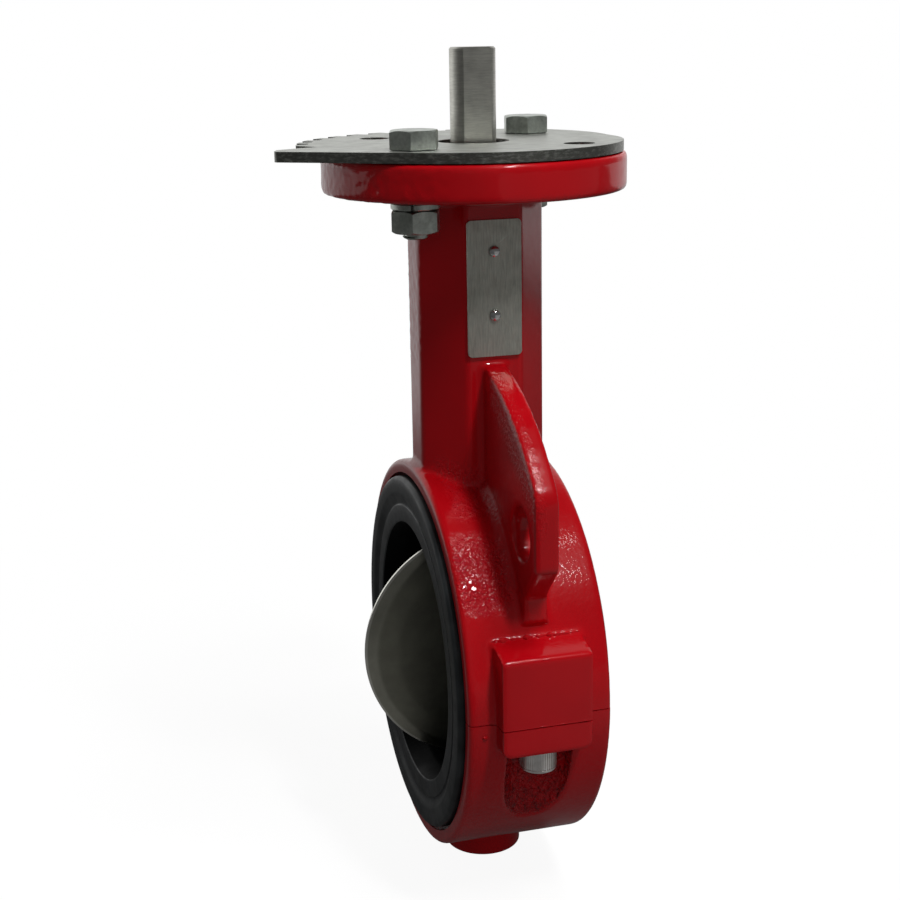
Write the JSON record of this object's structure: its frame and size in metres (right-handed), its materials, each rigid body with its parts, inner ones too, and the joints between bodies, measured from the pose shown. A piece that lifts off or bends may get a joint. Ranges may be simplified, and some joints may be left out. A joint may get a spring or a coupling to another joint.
{
  "type": "wafer butterfly valve",
  "caption": "Wafer butterfly valve with a split cast body, a rubber seat, a one-piece disc and stem, a notch plate on the top flange and locating wings.",
  "frame": {"origin": "centre of the disc, where the stem axis crosses the bore axis", "axes": "+Z along the stem towards its top, Y along the flow, +X towards the side with the nameplate"},
  "size_m": [0.137, 0.1082, 0.2597],
  "materials": {
    "red_paint": "glossy deep red paint over cast iron",
    "black_rubber": "satin black rubber",
    "stainless_steel": "satin machined stainless steel",
    "zinc_steel": "dull zinc plated steel",
    "bare_plate": "dull stainless sheet",
    "bush_bronze": "plain bearing bronze"
  },
  "bodies": {
    "body": {"upper_body": "red_paint", "lower_body": "red_paint", "seat": "black_rubber", "notch_plate": "zinc_steel", "plate_bolt_front": "zinc_steel", "plate_bolt_rear": "zinc_steel", "lock_washer_front": "zinc_steel", "lock_washer_rear": "zinc_steel", "plate_nut_front": "zinc_steel", "plate_nut_rear": "zinc_steel", "nameplate": "bare_plate", "nameplate_pin_upper": "bare_plate", "nameplate_pin_lower": "bare_plate", "body_bolt_near": "zinc_steel", "body_bolt_far": "zinc_steel", "upper_bushing": "bush_bronze", "lower_bushing": "bush_bronze", "stem_seal": "black_rubber"},
    "disc": {"disc_stem": "stainless_steel"}
  },
  "joints": [
    {"name": "disc_turn", "type": "hinge", "parent": "body", "child": "disc", "pos_m": [0, 0, 0], "axis": [0, 0, -1], "range_deg": [0, 90]}
  ]
}
